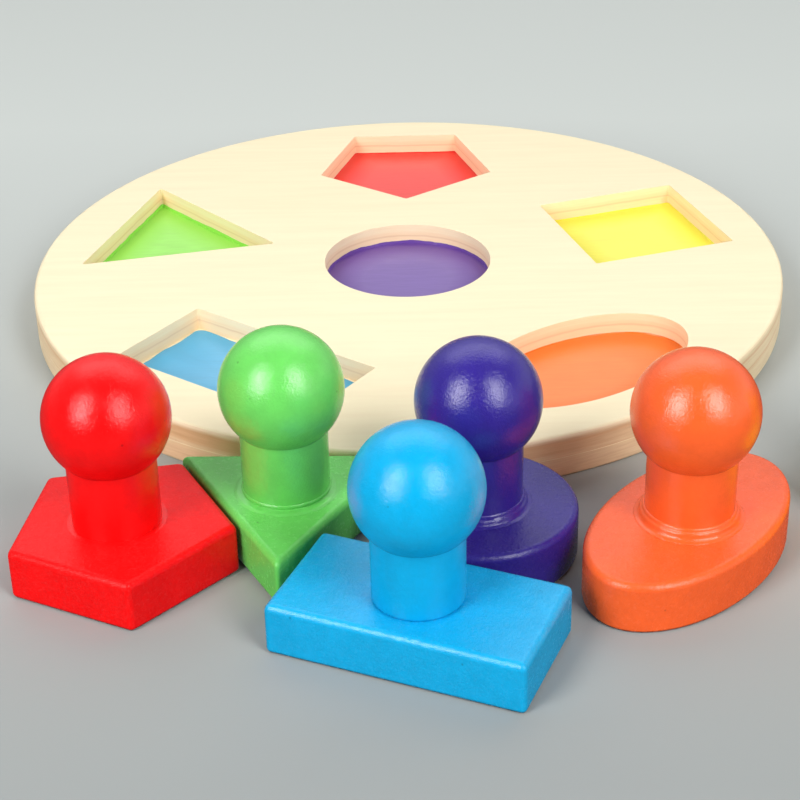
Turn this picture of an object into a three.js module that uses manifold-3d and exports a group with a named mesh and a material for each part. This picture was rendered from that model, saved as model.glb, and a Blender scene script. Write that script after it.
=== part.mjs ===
// Shape puzzle: a round plywood board with six coloured recesses, and the six painted
// knob blocks that fit them, standing on the table in front of it as they are taken out.
// Millimetres, +Z up. The origin is the centre of the board's underside.

import * as THREE from "three";
import { mergeVertices } from "three/addons/utils/BufferGeometryUtils.js";
import Module from "manifold-3d";

// Board: a backing sheet, and a top sheet with the cut-outs glued on it
const backingThickness = 6;
const topThickness = 6.5;
const boardArris = 0.8;
const floorPaintThickness = 0.3;
const floorPaintInset = 0.3;

// Recesses: the least wood between the middle one and the ring, and the room round a block
const spokeWidth = 18.35;
const recessClearance = 0.8;
const recessCornerRadius = 0.6;

// Wood left between the farthest corner of each recess and the board's edge
const pentagonRim = 11.6;
const triangleRim = 13.1;
const rectangleRim = 12.4;
const ovalRim = 11.4;
const squareRim = 11.6;

// Block bases
const blockThickness = 13;
const edgeRadius = 1.6;
const cornerExtra = 0.4;
const pentagonRadius = 28.1;
const triangleSide = 55.4;
const rectangleLength = 61.2;
const rectangleWidth = 32;
const circleDiameter = 47.6;
const ovalLength = 67.2;
const ovalWidth = 38.8;
const squareSide = 43;

// Knobs: a neck and a ball, turned in one piece
const neckDiameter = 21;
const neckLength = 17;
const ballOverhang = 4.4;
const pentagonKnobShift = -0.7;

// Dowels: the glued pegs inside, half in the base and half in the knob
const dowelDiameter = 8;
const dowelDepthInKnob = 12;
const dowelChamfer = 0.8;
const dowelFitGap = 0.2;
const dowelEndGap = 0.3;
const woodUnderDowel = 4;

// Gaps between the things on the table
const circleToBoard = 0.3;
const triangleToBoard = 0.8;
const triangleToCircle = 2.9;
const rectangleToCircle = 0.3;
const rectangleToTriangle = 1.4;
const pentagonToTriangle = 0.7;
const pentagonToBoard = 16.4;
const ovalToCircle = 3.4;
const ovalToRectangle = 7.6;
const squareToOval = 9.7;
const squareToBoard = 44.6;

// How finely the round forms are divided
const boardSegments = 96;
const ovalSegments = 48;
const knobSegments = 30;
const ballSteps = 10;
const dowelSegments = 16;
const cornerSteps = 2;
const edgeSteps = 2;

// How far a cutting tool runs past the face it cuts through
const cutOverrun = 1;

const wood = { roughness: 0.6, metalness: 0 };
const paint = { roughness: 0.35, metalness: 0 };

const wasm = await Module();
wasm.setup();

const radians = THREE.MathUtils.degToRad;

function solidOf(geometry) {
  const bare = geometry.clone();
  bare.deleteAttribute("normal");
  bare.deleteAttribute("uv");
  const merged = mergeVertices(bare);
  return new wasm.Manifold(
    new wasm.Mesh({
      numProp: 3,
      vertProperties: merged.attributes.position.array,
      triVerts: new Uint32Array(merged.index.array),
    }),
  );
}

function cutAway(geometry, cutters) {
  let solid = solidOf(geometry);
  for (const cutter of cutters) {
    solid = solid.subtract(solidOf(cutter));
  }
  const mesh = solid.getMesh();
  const result = new THREE.BufferGeometry();
  result.setAttribute("position", new THREE.BufferAttribute(mesh.vertProperties, 3));
  result.setIndex(new THREE.BufferAttribute(mesh.triVerts, 1));
  result.computeVertexNormals();
  return result;
}

// A profile of (radius, height) points turned about Z.
function turned(profile, segments) {
  return new THREE.LatheGeometry(profile, segments).rotateX(Math.PI / 2);
}

// An outline raised straight up from one height to another.
function raised(outline, bottom, top) {
  const options = { depth: top - bottom, bevelEnabled: false };
  return new THREE.ExtrudeGeometry(new THREE.Shape(outline), options).translate(0, 0, bottom);
}

// Outlines lie in their shape's own frame, with +Y pointing away from the board's middle.
function regularCorners(count, inradius) {
  const radius = inradius / Math.cos(Math.PI / count);
  const corners = [];
  for (let i = 0; i < count; i += 1) {
    const angle = -Math.PI / 2 + (2 * Math.PI * i) / count;
    corners.push(new THREE.Vector2(radius * Math.cos(angle), radius * Math.sin(angle)));
  }
  return corners;
}

function rectangleCorners(length, width) {
  const x = length / 2;
  const y = width / 2;
  const signs = [[-1, -1], [1, -1], [1, 1], [-1, 1]];
  return signs.map(([right, out]) => new THREE.Vector2(right * x, out * y));
}

function roundedOutline(corners, radius) {
  const path = new THREE.Path();
  corners.forEach((corner, i) => {
    const arriving = corner.clone().sub(corners.at(i - 1)).normalize();
    const leaving = corners[(i + 1) % corners.length].clone().sub(corner).normalize();
    const inward = leaving.clone().sub(arriving).normalize();
    const halfAngle = (Math.PI - Math.acos(arriving.dot(leaving))) / 2;
    const centre = corner.clone().addScaledVector(inward, radius / Math.sin(halfAngle));
    const quarterTurn = Math.PI / 2;
    const start = arriving.angle() - quarterTurn;
    path.absarc(centre.x, centre.y, radius, start, leaving.angle() - quarterTurn);
  });
  return path.getPoints(cornerSteps);
}

function ovalOutline(length, width) {
  return new THREE.EllipseCurve(0, 0, length / 2, width / 2).getPoints(ovalSegments).slice(0, -1);
}

// Each shape's outline with all its sides moved out by grow.
const outlines = {
  pentagon: (grow, corner) =>
    roundedOutline(regularCorners(5, pentagonRadius * Math.cos(Math.PI / 5) + grow), corner),
  triangle: (grow, corner) =>
    roundedOutline(regularCorners(3, triangleSide / Math.sqrt(12) + grow), corner),
  rectangle: (grow, corner) =>
    roundedOutline(rectangleCorners(rectangleLength + 2 * grow, rectangleWidth + 2 * grow), corner),
  circle: (grow) => ovalOutline(circleDiameter + 2 * grow, circleDiameter + 2 * grow),
  oval: (grow) => ovalOutline(ovalLength + 2 * grow, ovalWidth + 2 * grow),
  square: (grow, corner) =>
    roundedOutline(rectangleCorners(squareSide + 2 * grow, squareSide + 2 * grow), corner),
};

// The five recesses of the ring: bearing from the board's middle, and the wood left outside
const ring = {
  pentagon: { bearing: 90, rim: pentagonRim },
  triangle: { bearing: 162, rim: triangleRim },
  rectangle: { bearing: 234, rim: rectangleRim },
  oval: { bearing: 306, rim: ovalRim },
  square: { bearing: 18, rim: squareRim },
};

// How the blocks stand on the table: each is turned about Z, and keeps a gap to one or two
// neighbours, measured towards the direction in which it stands from each of them.
const standing = {
  circle: { turn: 0, contacts: [{ beside: "board", towards: -83.4, gap: circleToBoard }] },
  triangle: {
    turn: -1.6,
    contacts: [
      { beside: "board", towards: -91.6, gap: triangleToBoard },
      { beside: "circle", towards: 149, gap: triangleToCircle },
    ],
  },
  rectangle: {
    turn: -22.8,
    contacts: [
      { beside: "circle", towards: 247, gap: rectangleToCircle },
      { beside: "triangle", towards: 328, gap: rectangleToTriangle },
    ],
  },
  pentagon: {
    turn: 9.9,
    contacts: [
      { beside: "triangle", towards: 208, gap: pentagonToTriangle },
      { beside: "board", towards: -116.4, gap: pentagonToBoard },
    ],
  },
  oval: {
    turn: 51,
    contacts: [
      { beside: "circle", towards: 339, gap: ovalToCircle },
      { beside: "rectangle", towards: 34, gap: ovalToRectangle },
    ],
  },
  square: {
    turn: 30,
    contacts: [
      { beside: "oval", towards: 5, gap: squareToOval },
      { beside: "board", towards: -45, gap: squareToBoard },
    ],
  },
};

const colours = {
  pentagon: 0xf01418,
  triangle: 0x5fd75a,
  rectangle: 0x22a6e6,
  circle: 0x41308f,
  oval: 0xff6437,
  square: 0xffe030,
};

const floorColours = {
  pentagon: 0xfc5f5a,
  triangle: 0xa5ee78,
  rectangle: 0x62b2e0,
  circle: 0x8a70b4,
  oval: 0xff9655,
  square: 0xfffa6e,
};

const names = Object.keys(outlines);
const floorOutlines = {};
const recessOutlines = {};
const blockOutlines = {};
for (const name of names) {
  recessOutlines[name] = outlines[name](recessClearance, recessCornerRadius);
  floorOutlines[name] = outlines[name](recessClearance - floorPaintInset, recessCornerRadius);
  blockOutlines[name] = outlines[name](0, edgeRadius + cornerExtra);
}

// The board is just large enough for the middle recess, the spoke, the ring and the rim.
const middleRecessRadius = circleDiameter / 2 + recessClearance;
const boardRadius = Math.max(
  ...Object.entries(ring).map(([name, { rim }]) => {
    const inward = Math.max(...recessOutlines[name].map((point) => -point.y));
    const distance = middleRecessRadius + spokeWidth + inward;
    return rim + Math.max(...recessOutlines[name].map((p) => Math.hypot(p.x, distance + p.y)));
  }),
);

// Moves a board outline's geometry from its own frame to its recess.
function seatInBoard(geometry, name) {
  if (!(name in ring)) {
    return geometry;
  }
  const { bearing, rim } = ring[name];
  const limit = boardRadius - rim;
  const outline = recessOutlines[name];
  const distance = Math.min(...outline.map((p) => Math.sqrt(limit ** 2 - p.x ** 2) - p.y));
  return geometry.translate(0, distance, 0).rotateZ(radians(bearing - 90));
}

function addMesh(group, name, geometry, colour, finish) {
  const material = new THREE.MeshStandardMaterial({ color: colour, ...finish });
  const mesh = new THREE.Mesh(geometry, material);
  mesh.name = name;
  group.add(mesh);
}

// A disc with its lower or its upper edge taken off by the arris.
function disc(bottom, top, lowerArris, upperArris) {
  const profile = [
    new THREE.Vector2(0, bottom),
    new THREE.Vector2(boardRadius - lowerArris, bottom),
    new THREE.Vector2(boardRadius, bottom + lowerArris),
    new THREE.Vector2(boardRadius, top - upperArris),
    new THREE.Vector2(boardRadius - upperArris, top),
    new THREE.Vector2(0, top),
  ];
  return turned(profile, boardSegments);
}

function makeBoard() {
  const board = new THREE.Group();
  const boardTop = backingThickness + topThickness;
  const cutters = names.map((name) => {
    const cutter = raised(
      recessOutlines[name],
      backingThickness - cutOverrun,
      boardTop + cutOverrun,
    );
    return seatInBoard(cutter, name);
  });
  const backing = disc(0, backingThickness, boardArris, 0);
  const top = cutAway(disc(backingThickness, boardTop, 0, boardArris), cutters);
  addMesh(board, "backing_board", backing, 0xeed9b2, wood);
  addMesh(board, "top_board", top, 0xfaf0d2, wood);
  const floorTop = backingThickness + floorPaintThickness;
  for (const name of names) {
    const floor = seatInBoard(raised(floorOutlines[name], backingThickness, floorTop), name);
    addMesh(board, `${name}_floor_paint`, floor, floorColours[name], paint);
  }
  return board;
}

// The base's dowel hole and the knob's are the same width and lie on one axis.
const dowelHoleRadius = dowelDiameter / 2 + dowelFitGap;

function makeBase(outline, knobShift) {
  const options = {
    depth: blockThickness - 2 * edgeRadius,
    bevelThickness: edgeRadius,
    bevelSize: edgeRadius,
    bevelOffset: -edgeRadius,
    bevelSegments: edgeSteps,
  };
  const base = new THREE.ExtrudeGeometry(new THREE.Shape(outline), options);
  base.translate(0, 0, edgeRadius);
  const holeProfile = [
    new THREE.Vector2(0, woodUnderDowel),
    new THREE.Vector2(dowelHoleRadius, woodUnderDowel),
    new THREE.Vector2(dowelHoleRadius, blockThickness + cutOverrun),
    new THREE.Vector2(0, blockThickness + cutOverrun),
  ];
  const hole = turned(holeProfile, dowelSegments).translate(knobShift, 0, 0);
  return cutAway(base, [hole]);
}

function makeKnob() {
  const neckRadius = neckDiameter / 2;
  const ballRadius = neckRadius + ballOverhang;
  const ballHeight = neckLength + Math.sqrt(ballRadius ** 2 - neckRadius ** 2);
  const creaseAngle = -Math.acos(neckRadius / ballRadius);
  const ball = new THREE.Path();
  ball.absarc(0, ballHeight, ballRadius, creaseAngle, Math.PI / 2);
  const profile = [
    new THREE.Vector2(0, dowelDepthInKnob),
    new THREE.Vector2(dowelHoleRadius, dowelDepthInKnob),
    new THREE.Vector2(dowelHoleRadius, 0),
    new THREE.Vector2(neckRadius, 0),
    ...ball.getPoints(ballSteps / 2).slice(0, -1),
    new THREE.Vector2(0, ballHeight + ballRadius),
  ];
  return turned(profile, knobSegments);
}

function makeDowel() {
  const radius = dowelDiameter / 2;
  const depthInBase = blockThickness - woodUnderDowel;
  const length = depthInBase + dowelDepthInKnob - 2 * dowelEndGap;
  const profile = [
    new THREE.Vector2(0, 0),
    new THREE.Vector2(radius - dowelChamfer, 0),
    new THREE.Vector2(radius, dowelChamfer),
    new THREE.Vector2(radius, length - dowelChamfer),
    new THREE.Vector2(radius - dowelChamfer, length),
    new THREE.Vector2(0, length),
  ];
  return turned(profile, dowelSegments).translate(0, 0, woodUnderDowel + dowelEndGap);
}

function makeBlock(name) {
  const block = new THREE.Group();
  const knobShift = name === "pentagon" ? pentagonKnobShift : 0;
  const knob = makeKnob().translate(knobShift, 0, blockThickness);
  const dowel = makeDowel().translate(knobShift, 0, 0);
  addMesh(block, `${name}_base`, makeBase(blockOutlines[name], knobShift), colours[name], paint);
  addMesh(block, `${name}_knob`, knob, colours[name], paint);
  addMesh(block, `${name}_dowel`, dowel, 0xdcc08c, wood);
  return block;
}

// The places of the blocks on the table, worked out one after another from their contacts.
const places = { board: { x: 0, y: 0 } };

// How far a thing on the table reaches from its own centre in a direction.
function reach(name, direction) {
  if (name === "board") {
    return boardRadius;
  }
  const local = direction - radians(standing[name].turn);
  const along = new THREE.Vector2(Math.cos(local), Math.sin(local));
  return Math.max(...blockOutlines[name].map((point) => point.dot(along)));
}

function standBeside(name, contacts) {
  const lines = contacts.map(({ beside, towards, gap }) => {
    const angle = radians(towards);
    const x = Math.cos(angle);
    const y = Math.sin(angle);
    const spacing = reach(beside, angle) + gap + reach(name, angle + Math.PI);
    return { x, y, distance: places[beside].x * x + places[beside].y * y + spacing };
  });
  const [first, second] = lines;
  if (second === undefined) {
    return { x: first.x * first.distance, y: first.y * first.distance };
  }
  const cross = first.x * second.y - first.y * second.x;
  return {
    x: (first.distance * second.y - second.distance * first.y) / cross,
    y: (first.x * second.distance - second.x * first.distance) / cross,
  };
}

const puzzle = new THREE.Group();
puzzle.add(makeBoard());
for (const [name, { turn, contacts }] of Object.entries(standing)) {
  places[name] = standBeside(name, contacts);
  const block = makeBlock(name);
  block.position.set(places[name].x, places[name].y, 0);
  block.rotation.z = radians(turn);
  puzzle.add(block);
}

export default puzzle;
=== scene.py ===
# Looks of the shape puzzle: a pale plywood board with coloured recesses, and painted
# knob blocks on the table in front of it. Metres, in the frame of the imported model.
import math

import bmesh
import bpy
from mathutils import Matrix, Quaternion, Vector


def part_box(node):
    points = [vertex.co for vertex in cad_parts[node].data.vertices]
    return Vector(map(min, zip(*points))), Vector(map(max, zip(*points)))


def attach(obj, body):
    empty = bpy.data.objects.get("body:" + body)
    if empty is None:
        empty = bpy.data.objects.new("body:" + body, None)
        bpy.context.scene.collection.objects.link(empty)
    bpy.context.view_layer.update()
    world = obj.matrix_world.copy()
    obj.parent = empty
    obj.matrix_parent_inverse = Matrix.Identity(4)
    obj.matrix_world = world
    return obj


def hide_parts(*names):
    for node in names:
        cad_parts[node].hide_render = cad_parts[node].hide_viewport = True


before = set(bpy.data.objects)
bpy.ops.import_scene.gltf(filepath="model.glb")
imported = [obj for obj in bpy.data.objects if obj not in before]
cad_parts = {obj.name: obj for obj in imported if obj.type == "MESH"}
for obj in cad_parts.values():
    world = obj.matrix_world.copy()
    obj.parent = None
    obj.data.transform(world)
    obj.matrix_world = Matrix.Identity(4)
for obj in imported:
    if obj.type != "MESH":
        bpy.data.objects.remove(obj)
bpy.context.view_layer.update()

MM = 0.001

# Blocks, before their edges are rounded: how far the sides of the regular ones lie from the
# middle, the length and width of the others, and how many corners they have
PENTAGON_RADIUS = 28.1 * MM
TRIANGLE_SIDE = 55.4 * MM
INRADII = {
    "pentagon": PENTAGON_RADIUS * math.cos(math.pi / 5),
    "triangle": TRIANGLE_SIDE / math.sqrt(12),
}
LENGTHS_AND_WIDTHS = {
    "rectangle": (61.2 * MM, 32.0 * MM),
    "square": (43.0 * MM, 43.0 * MM),
    "circle": (47.6 * MM, 47.6 * MM),
    "oval": (67.2 * MM, 38.8 * MM),
}
CORNERS = {"pentagon": 5, "triangle": 3, "rectangle": 4, "square": 4}

# Rounding of the blocks' top and foot edges, and the share of the first at the upright corners
BLOCK_TOP_EDGE = 1.8 * MM
BLOCK_FOOT_EDGE = 1.1 * MM
CORNER_SHARES = {"pentagon": 0.7, "triangle": 1, "rectangle": 0.7, "square": 0.7}

# Recesses: the room round a block, and the rounding of their corners
RECESS_CLEARANCE = 0.8 * MM
RECESS_CORNER = 0.6 * MM

# Knob, turned from one piece, and the dowel hole up its foot and down into the base
NECK_RADIUS = 10.5 * MM
BALL_RADIUS = 14.9 * MM
NECK_LENGTH = 17.0 * MM
HOLE_RADIUS = 4.2 * MM
HOLE_DEPTH = 12.0 * MM
WOOD_UNDER_HOLE = 4.0 * MM

# Rings on the neck close under the ball and close over the paint at its foot
CREASE_STEP = 0.25 * MM
BEAD_STEP = 0.8 * MM

# Arris of the board's outer edge, of the recess mouths, and of the glue seam
RIM_ARRIS = 1.2 * MM
MOUTH_ARRIS = 1.1 * MM
SEAM_ARRIS = 0.06 * MM

# Points round the round shapes, and steps across the rounded edges
OUTLINE_POINTS = 160
BOARD_POINTS = 256
HOLE_POINTS = 48
BALL_POINTS = 96
BALL_RINGS = 64
CORNER_STEPS = 6
FOOT_STEPS = 4
RIM_STEPS = 4
MOUTH_STEPS = 3
SEAM_STEPS = 1

# An edge folded by more than this gets rounded. Up to these angles, in degrees, a piece is shaded
# smooth, with this weight for the broad faces
FOLD = math.radians(40)
BOARD_SMOOTHING = 35
BASE_SMOOTHING = 40
KNOB_SMOOTHING = 42
FLATNESS_WEIGHT = 80

# Faces of the board are upright while their normal's Z is under this, and the rim's in this band
UPRIGHT = 0.6
RIM_BAND = 2 * MM

# Distances too small to tell heights, outlines or points apart
SAME_HEIGHT = 0.01 * MM
HAIR = 0.05 * MM
SAME_POINT = 0.002 * MM

# Each block: its colour, its turn on the table and its recess's bearing on the board
BLOCKS = {
    "pentagon": {"colour": "red", "turn": 9.9, "bearing": 90},
    "triangle": {"colour": "green", "turn": -1.6, "bearing": 162},
    "rectangle": {"colour": "blue", "turn": -22.8, "bearing": 234},
    "circle": {"colour": "purple", "turn": 0, "bearing": 90},
    "oval": {"colour": "orange", "turn": 51, "bearing": 306},
    "square": {"colour": "yellow", "turn": 30, "bearing": 18},
}

# Section of the paint and glue round each neck's foot, in mm out from the neck and up from
# the base: a thin film, a fillet, an open seam or a double ring
BEADS = {
    "pentagon": ((0, 0.5), (-0.2, 0.25), (-0.2, 0.1), (0.25, 0.05), (0.6, 0.05), (0.9, 0.02), (1.2, 0)),
    "triangle": (
        (0, 1.7), (0.2, 1.55), (0.3, 1.2), (0.2, 0.85), (0.12, 0.62), (0.3, 0.48), (0.8, 0.42),
        (1.3, 0.38), (1.6, 0.26), (1.85, 0.1), (2.1, 0),
    ),
    "rectangle": ((0, 0.75), (-0.12, 0.5), (-0.55, 0.42), (-0.55, 0)),
    "circle": (
        (0, 2.6), (0.25, 2.5), (0.42, 2.2), (0.45, 1.9), (0.55, 1.6), (0.8, 1.45), (1.0, 1.1),
        (1.1, 0.7), (1.3, 0.4), (1.6, 0.24), (1.85, 0.2), (2.05, 0.1), (2.2, 0),
    ),
    "oval": (
        (0, 2.9), (0.25, 2.85), (0.45, 2.6), (0.5, 2.25), (0.6, 2.05), (0.85, 1.95), (1.05, 1.65),
        (1.12, 1.25), (1.25, 0.85), (1.5, 0.5), (1.85, 0.3), (2.1, 0.24), (2.3, 0.12), (2.45, 0),
    ),
    "square": ((0, 1.6), (0.15, 1.3), (0.35, 0.8), (0.8, 0.35), (1.2, 0.2), (1.6, 0.08), (2.0, 0)),
}

# How uneven that runs, the grain of it, and the height above the base where it ends
UNEVEN = {
    "pentagon": 0.08 * MM,
    "triangle": 0.2 * MM,
    "rectangle": 0.1 * MM,
    "circle": 0.4 * MM,
    "oval": 0.2 * MM,
    "square": 0.4 * MM,
}
BEAD_GRAIN = 3 * MM
BEAD_REACH = 4 * MM

# Floor paint of each recess: how far it stops short of the wall, how far it climbs the wall,
# and how much its edge wanders
FLOOR_EDGES = {
    "pentagon": {"short": 0.05 * MM, "lap": 0.2 * MM, "wander": 0},
    "triangle": {"short": 0.05 * MM, "lap": 0.9 * MM, "wander": 0},
    "rectangle": {"short": 0.8 * MM, "lap": 0.02 * MM, "wander": 1.2 * MM},
    "circle": {"short": 0.05 * MM, "lap": 0.9 * MM, "wander": 0},
    "oval": {"short": 0.05 * MM, "lap": 0.25 * MM, "wander": 0},
    "square": {"short": 0.05 * MM, "lap": 0.2 * MM, "wander": 0},
}

# Grain of the lap and of the wandering edge, the lap's thickness, and the cuts in a long side
LAP_GRAIN = 5 * MM
WANDER_GRAIN = 9 * MM
LAP_THICKNESS = 0.25 * MM
SIDE_CUTS = 24

# Along the wall the floor paint is darkened by painted shade, full at first and then fading out,
# and each channel of its colour is lower by this much, down to the darkest
WALL_SHADE_WIDTH = 2.5 * MM
WALL_SHADE_FADE = 8.5 * MM
WALL_SHADE_DEPTH = 0.085
WALL_SHADE_DARKEST = 0.012

# Paint of the blocks and of the recess floors
PAINTS = {
    "red": (0.93, 0.004, 0.005),
    "green": (0.15, 0.655, 0.112),
    "blue": (0.002, 0.395, 0.74),
    "purple": (0.032, 0.017, 0.25),
    "orange": (0.98, 0.125, 0.022),
    "yellow": (0.95, 0.7, 0.03),
}
FLOOR_PAINTS = {
    "red": (0.92, 0.1, 0.09),
    "green": (0.36, 0.8, 0.16),
    "blue": (0.16, 0.48, 0.72),
    "purple": (0.215, 0.14, 0.4),
    "orange": (0.95, 0.255, 0.07),
    "yellow": (0.96, 0.9, 0.14),
}

# Gloss of the turned knobs and of the bases, which are duller as well
KNOB_GLOSS = {"red": 0.36, "green": 0.7, "blue": 0.41, "purple": 0.6, "orange": 0.65, "yellow": 0.5}
BASE_GLOSS = {"red": 0.15, "green": 0.42, "blue": 0.42, "purple": 0.42, "orange": 0.48, "yellow": 0.4}
BASE_DULLNESS = 0.06

# Scale of the patterns that run alike along all axes
EVENLY = (1, 1, 1)

# Patterns in the blocks' paint: their scales to the metre, how much they shade its colour, the
# heights of its bumps, its roughness, and the heights over which its foot is darkened by painted
# contact shade along with some grime
MOTTLE_SCALE = 140
MOTTLE_DARK = 0.9
MOTTLE_LIGHT = 1.06
NIB_SCALE = 130
NIB_DARK = 0.3
# Scale of the pale specks, which are partly chalk of the sanded paint and partly painted glints of its
# grain
SPECK_SCALE = 1700
PATCH_SCALE = 800
WAVE_SCALE = 700
GRAIN_SCALE = 1900
WAVE_HEIGHT = 0.055 * MM
GRAIN_HEIGHT = 0.1 * MM
LEAST_ROUGH = 0.14
MOST_ROUGH = 0.24
SHADE_AND_GRIME_FULL = 0.2 * MM
SHADE_AND_GRIME_END = 0.9 * MM
SHADE_AND_GRIME_DARK = 0.12
# White of those pale specks, partly chalk and partly painted glints
SPECK_WHITE = (1, 1, 1)

# Grain that shows through the floor paint: its scales along the axes and to the metre, how much
# it shades the colour, the height of its bumps, and the paint's roughness
FLOOR_GRAIN = (1, 9, 1)
FLOOR_GRAIN_SCALE = 110
FLOOR_DARK = 0.93
FLOOR_LIGHT = 1.05
FLOOR_BUMP = 0.08 * MM
FLOOR_ROUGHNESS = 0.3

# Face veneer of the board, with a broad figure and fine fibres
VENEER_DARK = (0.92, 0.79, 0.527)
VENEER_LIGHT = (0.95, 0.84, 0.57)
VENEER_FIBRE = (0.88, 0.765, 0.503)
VENEER_ROUGHNESS = 0.42
FIGURE_GRAIN = (1, 14, 1)
FIGURE_SCALE = 26
FIBRE_GRAIN = (1, 40, 1)
FIBRE_SCALE = 120
FIBRE_BUMP = 0.06 * MM

# Wood of the dowels
DOWEL_DARK = (0.6, 0.43, 0.24)
DOWEL_LIGHT = (0.76, 0.6, 0.38)
DOWEL_GRAIN = (12, 12, 1)
DOWEL_SCALE = 90
DOWEL_ROUGHNESS = 0.7

# Sanded edges of the board: their layers sway up and down, and fine streaks run along them
SWAY_SCALE = 60
LAYER_SWAY = 0.2 * MM
STREAK_GRAIN = (1, 1, 22)
STREAK_SCALE = 90
STREAK_BUMP = 0.1 * MM
EDGE_ROUGHNESS = 0.6

# Way that the grain of the board's inner layers runs, and the layers at its rim by their share
# of its height: where the inner ones show end grain, and where they show long grain
INNER_GRAIN = (-0.25, -0.97, 0)
PALE = (0.93, 0.77, 0.52)
TAN = (0.84, 0.58, 0.345)
HONEY = (0.87, 0.63, 0.375)
BROWN = (0.79, 0.505, 0.265)
STREAK = (0.7, 0.55, 0.42)
RIM_END_LAYERS = (
    (0.0, TAN),
    (0.05, HONEY),
    (0.12, TAN),
    (0.36, TAN),
    (0.44, HONEY),
    (0.55, HONEY),
    (0.61, BROWN),
    (0.85, BROWN),
    (0.94, PALE),
)
RIM_LONG_LAYERS = (
    (0.0, PALE),
    (0.44, PALE),
    (0.5, TAN),
    (0.56, PALE),
    (0.76, PALE),
    (0.82, TAN),
    (0.87, PALE),
)

# Layers at the recess walls, by the same share
WALL_PALE = (0.99, 0.81, 0.54)
WALL_TAN = (0.97, 0.74, 0.475)
WALL_LINE = (0.86, 0.6, 0.36)
WALL_STREAK = (0.95, 0.85, 0.72)
WALL_LAYERS = (
    (0.5, WALL_TAN),
    (0.68, WALL_TAN),
    (0.715, WALL_LINE),
    (0.75, WALL_TAN),
    (0.79, WALL_TAN),
    (0.85, WALL_PALE),
)

# Paper on the table, darker at the front and paler at the back by painted light over a stretch in Y,
# and the backdrop that it fades into over a stretch away from the middle
PAPER_SIZE = 6
PAPER_SHADED_NEAR = (0.3, 0.32, 0.315)
PAPER_LIT_FAR = (0.575, 0.608, 0.583)
PAPER_LIGHT_STRETCH = (-0.22, 0.14)
PAPER_ROUGHNESS = 0.9
BACKDROP = (0.5, 0.53, 0.51)
BACKDROP_STRETCH = (0.5, 1.1)

# Room that lights the puzzle besides the softboxes, and shows in its gloss, and the stretches of
# its directions in which one side passes into the next
ROOM_FRONT = (0.05, 0.05, 0.05)
ROOM_BACK = (0.42, 0.43, 0.44)
ROOM_RIGHT = (0.85, 0.85, 0.85)
ROOM_BELOW = (0.09, 0.09, 0.09)
FRONT_TO_BACK = (-0.3, 0.8)
MIDDLE_TO_RIGHT = (0.35, 0.9)
WALL_TO_CEILING = (0.25, 0.65)
BELOW_TO_ABOVE = (-0.1, 0.1)

# Softboxes, in metres, with their lean about the line to their aim in degrees
SOFTBOXES = {
    "left_softbox": {
        "place": (-0.68, -0.78, 0.69), "aim": (0, -0.12, 0.03),
        "width": 0.42, "height": 0.85, "watts": 11.5, "lean": 14,
    },
    "right_softbox": {
        "place": (0.66, -0.92, 0.87), "aim": (0, -0.12, 0.03),
        "width": 0.5, "height": 0.95, "watts": 12.9, "lean": -14,
    },
    "overhead_softbox": {
        "place": (0, 0.9, 1.25), "aim": (0, 0, 0),
        "width": 2.2, "height": 1.1, "watts": 10.4, "lean": 0,
    },
}

# Camera: where it stands, its turn, tilt and roll in degrees, and its lens and sensor in mm
CAMERA_PLACE = (-1.03 * MM, -514.7 * MM, 260.7 * MM)
CAMERA_YAW = -0.24
CAMERA_TILT = 29.94
CAMERA_ROLL = -1.25
CAMERA_LENS = 86.16
CAMERA_SENSOR = 36


# Working in Blender


def leave_edit_mode():
    if bpy.context.object is not None and bpy.context.object.mode != "OBJECT":
        bpy.ops.object.mode_set(mode="OBJECT")


def deselect_all():
    leave_edit_mode()
    bpy.ops.object.select_all(action="DESELECT")


def pick(piece):
    deselect_all()
    piece.select_set(True)
    bpy.context.view_layer.objects.active = piece


def edit(piece, kind):
    pick(piece)
    bpy.ops.object.mode_set(mode="EDIT")
    bpy.ops.mesh.select_mode(type=kind)


def select_edges(piece, wanted):
    edit(piece, "EDGE")
    bpy.ops.mesh.select_all(action="DESELECT")
    mesh = bmesh.from_edit_mesh(piece.data)
    for edge in mesh.edges:
        edge.select_set(wanted(edge))
    mesh.select_flush(True)
    bmesh.update_edit_mesh(piece.data)


def select_faces(piece, wanted):
    edit(piece, "FACE")
    bpy.ops.mesh.select_all(action="DESELECT")
    mesh = bmesh.from_edit_mesh(piece.data)
    for face in mesh.faces:
        face.select_set(wanted(face))
    bmesh.update_edit_mesh(piece.data)


def bevel_edges(piece, wanted, width, segments):
    select_edges(piece, wanted)
    bpy.ops.mesh.bevel(offset=width, segments=segments, affect="EDGES", clamp_overlap=True)
    leave_edit_mode()


def on_height(edge, height):
    return all(abs(v.co.z - height) < SAME_HEIGHT for v in edge.verts)


def is_fold(edge):
    return len(edge.link_faces) == 2 and edge.calc_face_angle() > FOLD


def apply_modifier(piece, kind, **settings):
    pick(piece)
    modifier = piece.modifiers.new(kind.lower(), kind)
    for name, value in settings.items():
        setattr(modifier, name, value)
    bpy.ops.object.modifier_apply(modifier=modifier.name)


def roughen(piece, wanted, direction, strength, grain):
    """Moves the wanted points to and fro by a cloudy pattern of some grain."""
    group = piece.vertex_groups.new(name="uneven")
    group.add([v.index for v in piece.data.vertices if wanted(v)], 1, "REPLACE")
    clouds = bpy.data.textures.new("uneven", "CLOUDS")
    clouds.noise_scale = grain
    apply_modifier(
        piece, "DISPLACE", texture=clouds, vertex_group="uneven", direction=direction, strength=strength
    )
    piece.vertex_groups.clear()


def merge_doubles(piece):
    edit(piece, "VERT")
    bpy.ops.mesh.select_all(action="SELECT")
    bpy.ops.mesh.remove_doubles(threshold=SAME_POINT)
    bpy.ops.mesh.normals_make_consistent(inside=False)
    leave_edit_mode()


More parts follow.
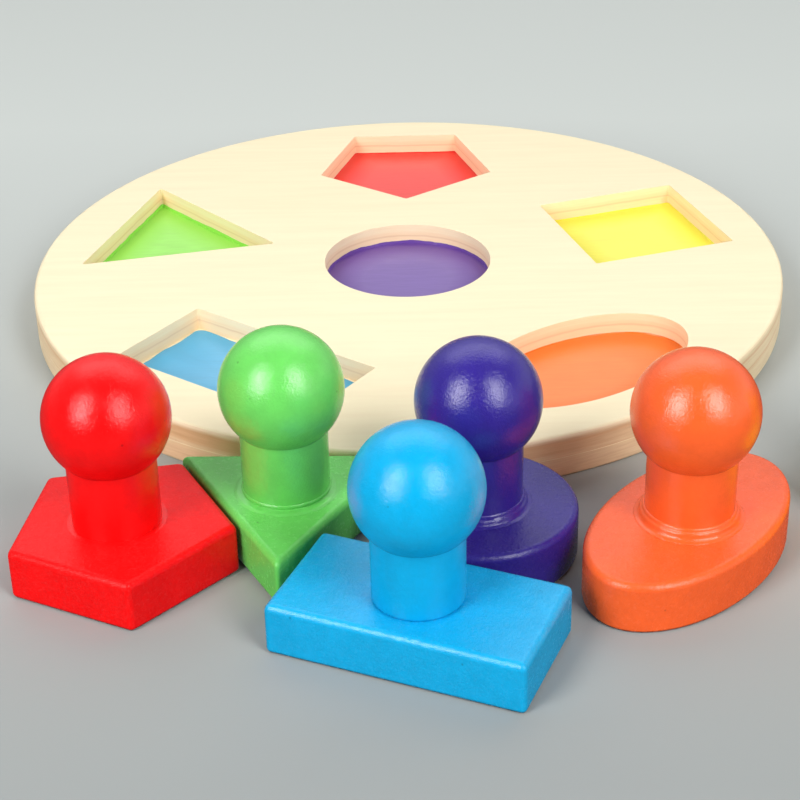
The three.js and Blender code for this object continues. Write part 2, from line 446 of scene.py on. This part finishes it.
def cut_with(piece, cutter):
    apply_modifier(piece, "BOOLEAN", object=cutter, operation="DIFFERENCE", solver="EXACT")
    bpy.data.objects.remove(cutter)


def settle(piece, turn_degrees, place):
    """Puts the turn and the place into the mesh, so that the object stays at the origin."""
    pick(piece)
    piece.rotation_euler = (0, 0, math.radians(turn_degrees))
    piece.location = place
    bpy.ops.object.transform_apply(location=True, rotation=True, scale=True)


def smooth(piece, degrees):
    """Smooth shading up to an angle, with the broad flat faces kept flat."""
    pick(piece)
    bpy.ops.object.shade_smooth_by_angle(angle=math.radians(degrees))
    apply_modifier(piece, "WEIGHTED_NORMAL", mode="FACE_AREA", weight=FLATNESS_WEIGHT, keep_sharp=True)


def hand_in(piece, name, body, node, slot, *materials):
    """Names a finished piece, and says what it rides on and stands for."""
    leave_edit_mode()
    piece.name = name
    piece.data.name = name
    piece.data.materials.clear()
    for material in materials:
        piece.data.materials.append(material)
    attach(piece, body)
    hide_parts(node)


def middle_of(node):
    """The middle of the points in a node's lowest face, which is where its shape is centred."""
    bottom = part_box(node)[0].z
    points = {
        (round(v.co.x, 6), round(v.co.y, 6))
        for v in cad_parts[node].data.vertices
        if v.co.z < bottom + SAME_HEIGHT
    }
    count = len(points)
    return Vector((sum(x for x, _ in points) / count, sum(y for _, y in points) / count, 0))


# Outlines of the shapes


def add_outline(shape, grow, corner):
    """A flat face of the shape's outline round the origin, with each side moved out by grow and
    each corner, if there are any, rounded by corner."""
    deselect_all()
    if shape in INRADII:
        sides = CORNERS[shape]
        radius = (INRADII[shape] + grow) / math.cos(math.pi / sides)
        bpy.ops.mesh.primitive_circle_add(vertices=sides, radius=radius, fill_type="NGON")
    elif shape in CORNERS:
        bpy.ops.mesh.primitive_plane_add(size=1)
    else:
        bpy.ops.mesh.primitive_circle_add(vertices=OUTLINE_POINTS, radius=0.5, fill_type="NGON")
    outline = bpy.context.object
    edit(outline, "VERT")
    bpy.ops.mesh.select_all(action="SELECT")
    if shape in INRADII:
        bpy.ops.transform.rotate(value=math.pi, orient_axis="Z", center_override=(0, 0, 0))
    else:
        length, width = LENGTHS_AND_WIDTHS[shape]
        size = (length + 2 * grow, width + 2 * grow, 1)
        bpy.ops.transform.resize(value=size, center_override=(0, 0, 0))
    if corner and shape in CORNERS:
        half_corner = math.pi / 2 - math.pi / CORNERS[shape]
        trim = corner / math.tan(half_corner)
        bpy.ops.mesh.bevel(offset_type="OFFSET", offset=trim, segments=CORNER_STEPS, affect="VERTICES")
    return outline


def raise_outline(outline, bottom, top):
    """Extrudes an outline into a slab from one height to another."""
    edit(outline, "FACE")
    bpy.ops.mesh.select_all(action="SELECT")
    bpy.ops.transform.translate(value=(0, 0, bottom))
    bpy.ops.mesh.extrude_region_move(TRANSFORM_OT_translate={"value": (0, 0, top - bottom)})
    bpy.ops.mesh.select_all(action="SELECT")
    bpy.ops.mesh.normals_make_consistent(inside=False)
    leave_edit_mode()
    return outline


# Materials


def start_material(name):
    material = bpy.data.materials.new(name)
    material.use_nodes = True
    nodes = material.node_tree.nodes
    return material, nodes, material.node_tree.links, nodes["Principled BSDF"]


def mapped(nodes, links, scale):
    """Object coordinates, multiplied by scale along each axis."""
    coordinates = nodes.new("ShaderNodeTexCoord")
    mapping = nodes.new("ShaderNodeMapping")
    mapping.inputs["Scale"].default_value = scale
    links.new(coordinates.outputs["Object"], mapping.inputs["Vector"])
    return mapping.outputs["Vector"]


def place_in(nodes, links, coordinates="Object"):
    """X, Y and Z of a kind of coordinates."""
    texture = nodes.new("ShaderNodeTexCoord")
    split = nodes.new("ShaderNodeSeparateXYZ")
    links.new(texture.outputs[coordinates], split.inputs["Vector"])
    return split.outputs


def noise(nodes, links, vector, scale, detail, roughness):
    texture = nodes.new("ShaderNodeTexNoise")
    texture.inputs["Scale"].default_value = scale
    texture.inputs["Detail"].default_value = detail
    texture.inputs["Roughness"].default_value = roughness
    links.new(vector, texture.inputs["Vector"])
    return texture.outputs["Fac"]


def remap(nodes, links, value, low, high, to_low, to_high):
    node = nodes.new("ShaderNodeMapRange")
    node.inputs["From Min"].default_value = low
    node.inputs["From Max"].default_value = high
    node.inputs["To Min"].default_value = to_low
    node.inputs["To Max"].default_value = to_high
    links.new(value, node.inputs["Value"])
    return node.outputs["Result"]


def ramp(nodes, links, value, *stops):
    """A colour ramp through (position, colour) stops."""
    node = nodes.new("ShaderNodeValToRGB")
    elements = node.color_ramp.elements
    while len(elements) < len(stops):
        elements.new(0.5)
    for element, (position, colour) in zip(elements, stops):
        element.position = position
        element.color = (*colour, 1)
    links.new(value, node.inputs["Fac"])
    return node.outputs["Color"]


def mix(nodes, links, factor, first, second, blend="MIX"):
    """Mixes two colours, each a socket or a plain colour, by a socket or a plain factor."""
    node = nodes.new("ShaderNodeMix")
    node.data_type = "RGBA"
    node.blend_type = blend
    sockets = (node.inputs[0], node.inputs[6], node.inputs[7])
    for socket, value in zip(sockets, (factor, first, second)):
        if isinstance(value, bpy.types.NodeSocket):
            links.new(value, socket)
        elif isinstance(value, tuple):
            socket.default_value = (*value, 1)
        else:
            socket.default_value = value
    return node.outputs[2]


def calculate(nodes, links, operation, *values):
    node = nodes.new("ShaderNodeMath")
    node.operation = operation
    for socket, value in zip(node.inputs, values):
        links.new(value, socket)
    return node.outputs["Value"]


def bump(nodes, links, height, strength, distance, under=None):
    node = nodes.new("ShaderNodeBump")
    node.inputs["Strength"].default_value = strength
    node.inputs["Distance"].default_value = distance
    links.new(height, node.inputs["Height"])
    if under is not None:
        links.new(under, node.inputs["Normal"])
    return node.outputs["Normal"]


def shade(colour, factor):
    return tuple(min(1.0, channel * factor) for channel in colour)


def block_paint(name, colour, gloss, dullness):
    """Satin paint sprayed on wood: mottled, with a few nibs of dust, pale specks where it is
    dull (partly chalk, partly painted glints of the grain), darkened at the foot by painted
    contact shade along with some grime, and with a grain that breaks its gloss."""
    material, nodes, links, shader = start_material(name)
    even = mapped(nodes, links, EVENLY)
    mottle = noise(nodes, links, even, MOTTLE_SCALE, detail=5, roughness=0.75)
    dark, light = shade(colour, MOTTLE_DARK), shade(colour, MOTTLE_LIGHT)
    tint = ramp(nodes, links, mottle, (0.3, dark), (0.7, light))
    nibs = nodes.new("ShaderNodeTexVoronoi")
    nibs.inputs["Scale"].default_value = NIB_SCALE
    links.new(even, nibs.inputs["Vector"])
    dust = remap(nodes, links, nibs.outputs["Distance"], 0.02, 0.05, 0.5, 0)
    tint = mix(nodes, links, dust, tint, shade(colour, NIB_DARK))
    # Pale specks on the duller bases: partly chalk of the sanded paint, partly painted glints of the
    # grain
    specks = noise(nodes, links, even, SPECK_SCALE, detail=2, roughness=0.6)
    chalk_and_glints = remap(nodes, links, specks, 0.45, 0.75, 0, 0.2 * dullness)
    tint = mix(nodes, links, chalk_and_glints, tint, SPECK_WHITE)
    # Painted contact shade along with some grime darkens the foot, just above the table
    height = place_in(nodes, links)["Z"]
    foot_shade_and_grime = remap(nodes, links, height, SHADE_AND_GRIME_FULL, SHADE_AND_GRIME_END, 0.75, 0)
    links.new(mix(nodes, links, foot_shade_and_grime, tint, shade(colour, SHADE_AND_GRIME_DARK)), shader.inputs["Base Color"])
    patches = noise(nodes, links, even, PATCH_SCALE, detail=3, roughness=0.6)
    roughness = remap(nodes, links, patches, 0.3, 0.7, LEAST_ROUGH + dullness, MOST_ROUGH + dullness)
    links.new(roughness, shader.inputs["Roughness"])
    shader.inputs["Specular IOR Level"].default_value = gloss
    waves = noise(nodes, links, even, WAVE_SCALE, detail=2, roughness=0.5)
    grain = noise(nodes, links, even, GRAIN_SCALE, detail=3, roughness=0.6)
    broad = bump(nodes, links, waves, 1, WAVE_HEIGHT)
    links.new(bump(nodes, links, grain, 1, GRAIN_HEIGHT, broad), shader.inputs["Normal"])
    return material


def floor_paint(name, colour):
    """Thin satin paint on plywood, with painted shade that deepens its colour along the recess wall."""
    material, nodes, links, shader = start_material(name)
    along = mapped(nodes, links, FLOOR_GRAIN)
    grain = noise(nodes, links, along, FLOOR_GRAIN_SCALE, detail=5, roughness=0.6)
    dark, light = shade(colour, FLOOR_DARK), shade(colour, FLOOR_LIGHT)
    tint = ramp(nodes, links, grain, (0.3, dark), (0.7, light))
    # Painted shade along the recess wall deepens the colour where the points are marked
    wall_shade = nodes.new("ShaderNodeAttribute")
    wall_shade.attribute_name = "wall_shade"
    wall_shaded = tuple(max(WALL_SHADE_DARKEST, channel - WALL_SHADE_DEPTH) for channel in colour)
    links.new(mix(nodes, links, wall_shade.outputs["Fac"], tint, wall_shaded), shader.inputs["Base Color"])
    shader.inputs["Roughness"].default_value = FLOOR_ROUGHNESS
    links.new(bump(nodes, links, grain, 0.2, FLOOR_BUMP), shader.inputs["Normal"])
    return material


def plywood_face(name):
    """The board's pale face veneer: cream, with faint long grain."""
    material, nodes, links, shader = start_material(name)
    broad = mapped(nodes, links, FIGURE_GRAIN)
    figure = noise(nodes, links, broad, FIGURE_SCALE, detail=5, roughness=0.6)
    fine = mapped(nodes, links, FIBRE_GRAIN)
    fibres = noise(nodes, links, fine, FIBRE_SCALE, detail=3, roughness=0.6)
    tint = ramp(nodes, links, figure, (0.3, VENEER_DARK), (0.68, VENEER_LIGHT))
    tint = mix(nodes, links, remap(nodes, links, fibres, 0.45, 0.75, 0, 0.25), tint, VENEER_FIBRE)
    links.new(tint, shader.inputs["Base Color"])
    shader.inputs["Roughness"].default_value = VENEER_ROUGHNESS
    links.new(bump(nodes, links, fibres, 0.15, FIBRE_BUMP), shader.inputs["Normal"])
    return material


def plywood_edge(name, end_layers, long_layers, streak):
    """Sanded edge of the two sheets: layers by height, dark where an inner layer shows its end
    grain and pale where it shows its long grain."""
    material, nodes, links, shader = start_material(name)
    coordinates = nodes.new("ShaderNodeTexCoord")
    facing = nodes.new("ShaderNodeVectorMath")
    facing.operation = "DOT_PRODUCT"
    facing.inputs[1].default_value = INNER_GRAIN
    links.new(coordinates.outputs["Normal"], facing.inputs[0])
    even = mapped(nodes, links, EVENLY)
    wander = noise(nodes, links, even, SWAY_SCALE, detail=3, roughness=0.6)
    sway = remap(nodes, links, wander, 0.3, 0.7, -LAYER_SWAY, LAYER_SWAY)
    height = calculate(nodes, links, "ADD", place_in(nodes, links)["Z"], sway)
    share = remap(nodes, links, height, 0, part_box("top_board")[1].z, 0, 1)
    end_grain = ramp(nodes, links, share, *end_layers)
    long_grain = ramp(nodes, links, share, *long_layers)
    ends = calculate(nodes, links, "ABSOLUTE", facing.outputs["Value"])
    layers = mix(nodes, links, remap(nodes, links, ends, 0.45, 0.9, 0, 1), long_grain, end_grain)
    along = mapped(nodes, links, STREAK_GRAIN)
    streaks = noise(nodes, links, along, STREAK_SCALE, detail=5, roughness=0.65)
    strength = remap(nodes, links, streaks, 0.4, 0.7, 0, 0.4)
    links.new(mix(nodes, links, strength, layers, streak, "MULTIPLY"), shader.inputs["Base Color"])
    shader.inputs["Roughness"].default_value = EDGE_ROUGHNESS
    links.new(bump(nodes, links, streaks, 0.3, STREAK_BUMP), shader.inputs["Normal"])
    return material


def dowel_wood(name):
    material, nodes, links, shader = start_material(name)
    along = mapped(nodes, links, DOWEL_GRAIN)
    grain = noise(nodes, links, along, DOWEL_SCALE, detail=4, roughness=0.6)
    tint = ramp(nodes, links, grain, (0.3, DOWEL_DARK), (0.7, DOWEL_LIGHT))
    links.new(tint, shader.inputs["Base Color"])
    shader.inputs["Roughness"].default_value = DOWEL_ROUGHNESS
    return material


# Board

face_veneer = plywood_face("face_veneer")
rim_edge = plywood_edge("rim_edge", RIM_END_LAYERS, RIM_LONG_LAYERS, STREAK)
recess_wall = plywood_edge("recess_wall", WALL_LAYERS, WALL_LAYERS, WALL_STREAK)


def add_disc(low, high, radius):
    deselect_all()
    middle = (0, 0, (low + high) / 2)
    bpy.ops.mesh.primitive_cylinder_add(
        vertices=BOARD_POINTS, radius=radius, depth=high - low, location=middle
    )
    bpy.ops.object.transform_apply(location=True, rotation=True, scale=True)
    return bpy.context.object


def colour_edges(piece, radius):
    """Gives the upright faces of the rim the second material, and those of the recesses the third."""
    for face in piece.data.polygons:
        face.material_index = 0
        if abs(face.normal.z) < UPRIGHT:
            face.material_index = 1 if face.center.xy.length > radius - RIM_BAND else 2


def make_board():
    low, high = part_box("top_board")
    radius = high.x
    seam = low.z
    top = add_disc(seam, high.z, radius)
    for shape, block in BLOCKS.items():
        outline = add_outline(shape, RECESS_CLEARANCE, RECESS_CORNER)
        cutter = raise_outline(outline, seam - MM, high.z + MM)
        settle(cutter, block["bearing"] - 90, middle_of(shape + "_floor_paint"))
        cut_with(top, cutter)

    def at_rim(edge):
        return all(v.co.xy.length > radius - HAIR for v in edge.verts)

    bevel_edges(top, lambda e: on_height(e, high.z) and is_fold(e) and at_rim(e), RIM_ARRIS, RIM_STEPS)
    bevel_edges(top, lambda e: on_height(e, high.z) and is_fold(e), MOUTH_ARRIS, MOUTH_STEPS)
    bevel_edges(top, lambda e: on_height(e, seam) and is_fold(e) and at_rim(e), SEAM_ARRIS, SEAM_STEPS)
    smooth(top, BOARD_SMOOTHING)
    top_materials = (face_veneer, rim_edge, recess_wall)
    hand_in(top, "board_top_sheet", "board", "top_board", "top_plywood", *top_materials)
    colour_edges(top, radius)

    backing_low, backing_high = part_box("backing_board")
    backing = add_disc(backing_low.z, backing_high.z, radius)
    bevel_edges(backing, lambda e: on_height(e, backing_low.z) and is_fold(e), RIM_ARRIS, RIM_STEPS)
    bevel_edges(backing, lambda e: on_height(e, backing_high.z) and is_fold(e), SEAM_ARRIS, SEAM_STEPS)
    smooth(backing, BOARD_SMOOTHING)
    backing_materials = (face_veneer, rim_edge)
    hand_in(
        backing, "board_backing_sheet", "board", "backing_board", "backing_plywood", *backing_materials
    )
    colour_edges(backing, radius)


def mark_wall_shade(floor, middle):
    """Marks on the selected top face where painted shade darkens the paint along the wall, by two rings
    inside its edge.
    """
    reach = min((v.co.xy - middle.xy).length for v in floor.data.vertices)
    for width in (WALL_SHADE_WIDTH, WALL_SHADE_FADE):
        scale = 1 - width / reach
        reach -= width
        bpy.ops.mesh.extrude_region_move(TRANSFORM_OT_translate={"value": (0, 0, 0)})
        bpy.ops.transform.resize(value=(scale, scale, 1), center_override=middle)
    leave_edit_mode()
    wall_shade = floor.data.attributes.new("wall_shade", "FLOAT", "POINT")
    for vert in floor.data.vertices:
        wall_shade.data[vert.index].value = 0 if vert.select else 1


def make_recess_floors():
    """Each floor's paint, which climbs a little way up the recess wall by an uneven lap."""
    for shape, block in BLOCKS.items():
        node = shape + "_floor_paint"
        low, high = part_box(node)
        short, lap, wander = (FLOOR_EDGES[shape][key] for key in ("short", "lap", "wander"))
        outline = add_outline(shape, RECESS_CLEARANCE - short, RECESS_CORNER + 2 * short)
        select_edges(outline, lambda e: e.calc_length() > LAP_GRAIN)
        bpy.ops.mesh.subdivide(number_cuts=SIDE_CUTS)
        floor = raise_outline(outline, low.z, high.z + lap)
        settle(floor, block["bearing"] - 90, middle_of(node))
        select_faces(floor, lambda f: f.normal.z > 0.9)
        bpy.ops.mesh.inset(thickness=LAP_THICKNESS, depth=-lap)
        # Marks where painted shade darkens the floor along the wall
        mark_wall_shade(floor, middle_of(node))
        roughen(floor, lambda v: v.co.z > high.z + lap / 2, "Z", lap, LAP_GRAIN)
        if wander:
            roughen(floor, lambda v: True, "NORMAL", wander, WANDER_GRAIN)
        smooth(floor, BOARD_SMOOTHING)
        colour = block["colour"]
        paint = floor_paint(colour + "_floor_paint", FLOOR_PAINTS[colour])
        hand_in(floor, shape + "_recess_floor", "board", node, colour + "_floor_paint", paint)


# Blocks


def round_block(base, top, corner_share):
    """Rounds the top edges, and by a share of that the upright corners, if there are any."""
    select_edges(base, lambda e: on_height(e, top) and is_fold(e))
    bpy.ops.transform.edge_bevelweight(value=1)
    if corner_share:
        select_edges(base, lambda e: abs(e.verts[0].co.z - e.verts[1].co.z) > MM and is_fold(e))
        bpy.ops.transform.edge_bevelweight(value=corner_share)
    apply_modifier(base, "BEVEL", limit_method="WEIGHT", width=BLOCK_TOP_EDGE, segments=CORNER_STEPS)


def make_base(shape, turn, knob_axis, paint):
    low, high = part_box(shape + "_base")
    base = raise_outline(add_outline(shape, 0, 0), low.z, high.z)
    settle(base, turn, middle_of(shape + "_base"))
    round_block(base, high.z, CORNER_SHARES.get(shape))
    bevel_edges(base, lambda e: on_height(e, low.z) and is_fold(e), BLOCK_FOOT_EDGE, FOOT_STEPS)
    merge_doubles(base)
    deselect_all()
    hole_top = high.z + MM
    hole_bottom = low.z + WOOD_UNDER_HOLE
    place = knob_axis + Vector((0, 0, (hole_top + hole_bottom) / 2))
    bpy.ops.mesh.primitive_cylinder_add(
        vertices=HOLE_POINTS, radius=HOLE_RADIUS, depth=hole_top - hole_bottom, location=place
    )
    drill = bpy.context.object
    bpy.ops.object.transform_apply(location=True, rotation=True, scale=True)
    cut_with(base, drill)
    smooth(base, BASE_SMOOTHING)
    colour = BLOCKS[shape]["colour"]
    hand_in(base, shape + "_block_base", shape + "_block", shape + "_base", colour + "_paint", paint)


def follow_profile(start, profile):
    """Carries the selected edge loop of a turned piece on through (radius, height) points."""
    radius, height = start
    for next_radius, next_height in profile:
        step = (0, 0, next_height - height)
        bpy.ops.mesh.extrude_region_move(TRANSFORM_OT_translate={"value": step})
        scale = next_radius / radius
        bpy.ops.transform.resize(value=(scale, scale, 1), center_override=(0, 0, next_height))
        radius, height = next_radius, next_height


def make_knob(shape, knob_axis, paint):
    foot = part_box(shape + "_knob")[0].z
    crease = foot + NECK_LENGTH
    ball_height = crease + math.sqrt(BALL_RADIUS**2 - NECK_RADIUS**2)
    deselect_all()
    bpy.ops.mesh.primitive_uv_sphere_add(
        segments=BALL_POINTS, ring_count=BALL_RINGS, radius=BALL_RADIUS, location=(0, 0, ball_height)
    )
    knob = bpy.context.object
    bpy.ops.object.transform_apply(location=True, rotation=True, scale=True)
    edit(knob, "EDGE")
    bpy.ops.mesh.select_all(action="SELECT")
    bpy.ops.mesh.bisect(plane_co=(0, 0, crease), plane_no=(0, 0, 1), clear_inner=True)
    bead = [(NECK_RADIUS + out * MM, foot + up * MM) for out, up in BEADS[shape]]
    profile = [
        (NECK_RADIUS, crease - CREASE_STEP),
        (NECK_RADIUS, (crease + foot) / 2),
        (NECK_RADIUS, bead[0][1] + BEAD_STEP),
        *bead,
        (HOLE_RADIUS, foot),
        (HOLE_RADIUS, foot + HOLE_DEPTH),
    ]
    follow_profile((NECK_RADIUS, crease), profile)
    bpy.ops.mesh.edge_face_add()
    merge_doubles(knob)
    settle(knob, 0, knob_axis)

    def on_bead(vert):
        reach = (vert.co.xy - knob_axis.xy).length - NECK_RADIUS
        return reach > HAIR and HAIR < vert.co.z - foot < BEAD_REACH

    roughen(knob, on_bead, "NORMAL", UNEVEN[shape], BEAD_GRAIN)
    smooth(knob, KNOB_SMOOTHING)
    colour = BLOCKS[shape]["colour"]
    hand_in(knob, shape + "_block_knob", shape + "_block", shape + "_knob", colour + "_paint", paint)


def make_blocks():
    bare_wood = dowel_wood("dowel_wood")
    for shape, block in BLOCKS.items():
        colour = block["colour"]
        tint = PAINTS[colour]
        base_paint = block_paint(colour + "_base_paint", tint, BASE_GLOSS[colour], BASE_DULLNESS)
        knob_paint = block_paint(colour + "_knob_paint", tint, KNOB_GLOSS[colour], 0)
        knob_axis = middle_of(shape + "_dowel")
        make_base(shape, block["turn"], knob_axis, base_paint)
        make_knob(shape, knob_axis, knob_paint)
        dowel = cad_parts[shape + "_dowel"]
        dowel.data.materials.clear()
        dowel.data.materials.append(bare_wood)


# Table, light and camera


def make_table():
    """Paper that takes the shadows near the puzzle, paler from front to back by painted light,
    and fading into the backdrop further off.
    """
    deselect_all()
    bpy.ops.mesh.primitive_plane_add(size=PAPER_SIZE)
    table = bpy.context.object
    table.name = "table"
    material, nodes, links, shader = start_material("table_paper")
    # Painted light: the paper is darker at the front and paler at the back
    share = remap(nodes, links, place_in(nodes, links)["Y"], *PAPER_LIGHT_STRETCH, 0, 1)
    links.new(ramp(nodes, links, share, (0, PAPER_SHADED_NEAR), (1, PAPER_LIT_FAR)), shader.inputs["Base Color"])
    shader.inputs["Roughness"].default_value = PAPER_ROUGHNESS
    reach = nodes.new("ShaderNodeVectorMath")
    reach.operation = "LENGTH"
    links.new(mapped(nodes, links, EVENLY), reach.inputs[0])
    far = remap(nodes, links, reach.outputs["Value"], *BACKDROP_STRETCH, 0, 1)
    rays = nodes.new("ShaderNodeLightPath")
    backdrop = nodes.new("ShaderNodeEmission")
    backdrop.inputs["Color"].default_value = (*BACKDROP, 1)
    blend = nodes.new("ShaderNodeMixShader")
    seen_far = calculate(nodes, links, "MULTIPLY", far, rays.outputs["Is Camera Ray"])
    links.new(seen_far, blend.inputs["Fac"])
    links.new(shader.outputs["BSDF"], blend.inputs[1])
    links.new(backdrop.outputs["Emission"], blend.inputs[2])
    links.new(blend.outputs["Shader"], nodes["Material Output"].inputs["Surface"])
    table.data.materials.append(material)
    table.visible_glossy = False


def add_softbox(name, place, aim, width, height, watts, lean):
    """A rectangular lamp that faces its aim, leaning by some degrees about that line."""
    lamp = bpy.data.lights.new(name, "AREA")
    lamp.shape = "RECTANGLE"
    lamp.size = width
    lamp.size_y = height
    lamp.energy = watts
    holder = bpy.data.objects.new(name, lamp)
    bpy.context.scene.collection.objects.link(holder)
    holder.location = place
    facing = (Vector(aim) - Vector(place)).to_track_quat("-Z", "Y")
    holder.rotation_euler = (facing @ Quaternion((0, 0, 1), math.radians(lean))).to_euler()


def make_light():
    """Two front softboxes, a broad one overhead at the back, and a dim room with a pale right wall."""
    for name, softbox in SOFTBOXES.items():
        add_softbox(name, **softbox)
    world = bpy.data.worlds.new("studio")
    world.use_nodes = True
    nodes, links = world.node_tree.nodes, world.node_tree.links
    direction = place_in(nodes, links, "Generated")
    behind = remap(nodes, links, direction["Y"], *FRONT_TO_BACK, 0, 1)
    room = mix(nodes, links, behind, ROOM_FRONT, ROOM_BACK)
    beside = remap(nodes, links, direction["X"], *MIDDLE_TO_RIGHT, 0, 1)
    low_down = remap(nodes, links, direction["Z"], *WALL_TO_CEILING, 1, 0)
    right_wall = calculate(nodes, links, "MULTIPLY", beside, low_down)
    room = mix(nodes, links, right_wall, room, ROOM_RIGHT)
    above = remap(nodes, links, direction["Z"], *BELOW_TO_ABOVE, 0, 1)
    lit_room = mix(nodes, links, above, ROOM_BELOW, room)
    rays = nodes.new("ShaderNodeLightPath")
    seen = mix(nodes, links, rays.outputs["Is Camera Ray"], lit_room, BACKDROP)
    links.new(seen, nodes["Background"].inputs["Color"])
    bpy.context.scene.world = world


def make_camera():
    yaw, tilt, roll = (math.radians(a) for a in (CAMERA_YAW, CAMERA_TILT, CAMERA_ROLL))
    ahead = Vector((math.sin(yaw) * math.cos(tilt), math.cos(yaw) * math.cos(tilt), -math.sin(tilt)))
    level = Vector((math.cos(yaw), -math.sin(yaw), 0))
    upright = level.cross(ahead)
    right = math.cos(roll) * level + math.sin(roll) * upright
    up = -math.sin(roll) * level + math.cos(roll) * upright
    data = bpy.data.cameras.new("camera")
    data.sensor_width = CAMERA_SENSOR
    data.lens = CAMERA_LENS
    camera = bpy.data.objects.new("camera", data)
    bpy.context.scene.collection.objects.link(camera)
    turn = Matrix((right, up, -ahead)).transposed().to_4x4()
    camera.matrix_world = Matrix.Translation(CAMERA_PLACE) @ turn
    bpy.context.scene.camera = camera


make_camera()
make_board()
make_recess_floors()
make_blocks()
make_table()
make_light()
bpy.context.scene.view_settings.view_transform = "Standard"
deselect_all()
